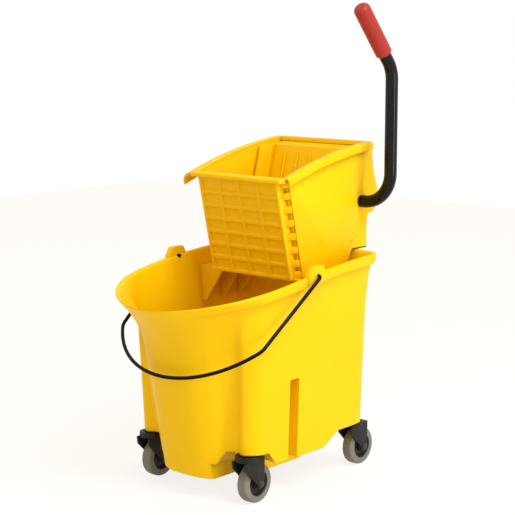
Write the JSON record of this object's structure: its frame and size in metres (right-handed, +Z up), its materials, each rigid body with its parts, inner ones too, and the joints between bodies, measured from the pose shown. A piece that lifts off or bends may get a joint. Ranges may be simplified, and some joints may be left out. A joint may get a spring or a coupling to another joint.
{
  "type": "mop bucket with side press wringer",
  "caption": "Wheeled mop bucket with a spouted front, a wire bail and a lever-worked side press wringer whose plate slides to squeeze a mop against a ribbed wall.",
  "frame": {"origin": "on the floor under the middle of the bucket's rim", "axes": "+X to the wringer end, -X to the spout, -Y the lever side, +Z up"},
  "size_m": [0.574, 0.3975, 0.9289],
  "materials": {
    "bucket_plastic": "glossy moulded polyethylene, safety yellow",
    "wringer_plastic": "glossy moulded polypropylene, safety yellow",
    "bail_wire": "black coated steel wire",
    "black_steel": "gloss black powder coat on steel tube",
    "red_vinyl": "satin dipped vinyl",
    "white_nylon": "moulded nylon",
    "black_plastic": "moulded black plastic",
    "hub_plastic": "moulded black plastic",
    "grey_steel": "pressed steel plate",
    "zinc_steel": "zinc plated steel",
    "yellow_steel": "yellow painted steel screws",
    "dark_steel": "black oxide steel",
    "grey_tyre": "non marking grey tread"
  },
  "bodies": {
    "frame": {"bucket": "bucket_plastic", "wringer_body": "wringer_plastic", "rear_housing": "wringer_plastic", "housing_screws": "yellow_steel", "shaft_bush_near": "wringer_plastic", "shaft_bush_far": "wringer_plastic", "return_spring": "zinc_steel", "caster_1_socket": "black_plastic", "caster_2_socket": "black_plastic", "caster_3_socket": "black_plastic", "caster_4_socket": "black_plastic"},
    "lever": {"lever_tube": "black_steel", "lever_grip": "red_vinyl", "shaft_end_cap": "black_plastic", "crank_arm_near": "grey_steel", "crank_arm_far": "grey_steel", "crank_pin_near": "zinc_steel", "crank_pin_far": "zinc_steel"},
    "roller_near": {"crank_roller_near": "white_nylon"},
    "roller_far": {"crank_roller_far": "white_nylon"},
    "press": {"press_plate": "wringer_plastic", "yoke_near": "grey_steel", "yoke_far": "grey_steel", "yoke_screws": "zinc_steel"},
    "bail": {"bail": "bail_wire"},
    "caster_1": {"caster_1_stem": "zinc_steel", "caster_1_fork": "black_plastic", "caster_1_axle": "dark_steel"},
    "wheel_1": {"caster_1_wheel_core": "hub_plastic", "caster_1_tyre": "grey_tyre"},
    "caster_2": {"caster_2_stem": "zinc_steel", "caster_2_fork": "black_plastic", "caster_2_axle": "dark_steel"},
    "wheel_2": {"caster_2_wheel_core": "hub_plastic", "caster_2_tyre": "grey_tyre"},
    "caster_3": {"caster_3_stem": "zinc_steel", "caster_3_fork": "black_plastic", "caster_3_axle": "dark_steel"},
    "wheel_3": {"caster_3_wheel_core": "hub_plastic", "caster_3_tyre": "grey_tyre"},
    "caster_4": {"caster_4_stem": "zinc_steel", "caster_4_fork": "black_plastic", "caster_4_axle": "dark_steel"},
    "wheel_4": {"caster_4_wheel_core": "hub_plastic", "caster_4_tyre": "grey_tyre"}
  },
  "joints": [
    {"name": "lever_swing", "type": "hinge", "parent": "frame", "child": "lever", "pos_m": [0.262, 0, 0.537], "axis": [0, -1, 0], "range_deg": [0, 60], "stiffness_Nm_per_rad": 1.2, "springref_deg": -17.19, "deforming": ["return_spring"]},
    {"name": "press_slide", "type": "slide", "parent": "frame", "child": "press", "axis": [-1, 0, 0], "range_m": [0, 0.0607]},
    {"name": "roller_near_spin", "type": "hinge", "parent": "lever", "child": "roller_near", "pos_m": [0.2864, -0.0485, 0.59181], "axis": [0, 1, 0], "continuous": true},
    {"name": "roller_far_spin", "type": "hinge", "parent": "lever", "child": "roller_far", "pos_m": [0.2864, 0.0485, 0.59181], "axis": [0, 1, 0], "continuous": true},
    {"name": "bail_swing", "type": "hinge", "parent": "frame", "child": "bail", "pos_m": [0.03, 0, 0.42392], "axis": [0, 1, 0], "range_deg": [0, 125]},
    {"name": "caster_1_swivel", "type": "hinge", "parent": "frame", "child": "caster_1", "pos_m": [-0.104, -0.126, 0.097], "axis": [0, 0, 1], "continuous": true},
    {"name": "wheel_1_spin", "type": "hinge", "parent": "caster_1", "child": "wheel_1", "pos_m": [-0.082, -0.126, 0.038], "axis": [0, 1, 0], "continuous": true},
    {"name": "caster_2_swivel", "type": "hinge", "parent": "frame", "child": "caster_2", "pos_m": [-0.104, 0.126, 0.097], "axis": [0, 0, 1], "continuous": true},
    {"name": "wheel_2_spin", "type": "hinge", "parent": "caster_2", "child": "wheel_2", "pos_m": [-0.082, 0.126, 0.038], "axis": [0, 1, 0], "continuous": true},
    {"name": "caster_3_swivel", "type": "hinge", "parent": "frame", "child": "caster_3", "pos_m": [0.218, -0.126, 0.097], "axis": [0, 0, 1], "continuous": true},
    {"name": "wheel_3_spin", "type": "hinge", "parent": "caster_3", "child": "wheel_3", "pos_m": [0.24, -0.126, 0.038], "axis": [0, 1, 0], "continuous": true},
    {"name": "caster_4_swivel", "type": "hinge", "parent": "frame", "child": "caster_4", "pos_m": [0.218, 0.126, 0.097], "axis": [0, 0, 1], "continuous": true},
    {"name": "wheel_4_spin", "type": "hinge", "parent": "caster_4", "child": "wheel_4", "pos_m": [0.24, 0.126, 0.038], "axis": [0, 1, 0], "continuous": true}
  ],
  "couplings": [
    {"joint": "press_slide", "follows": "lever_swing", "m_per_rad": 0.056982}
  ]
}
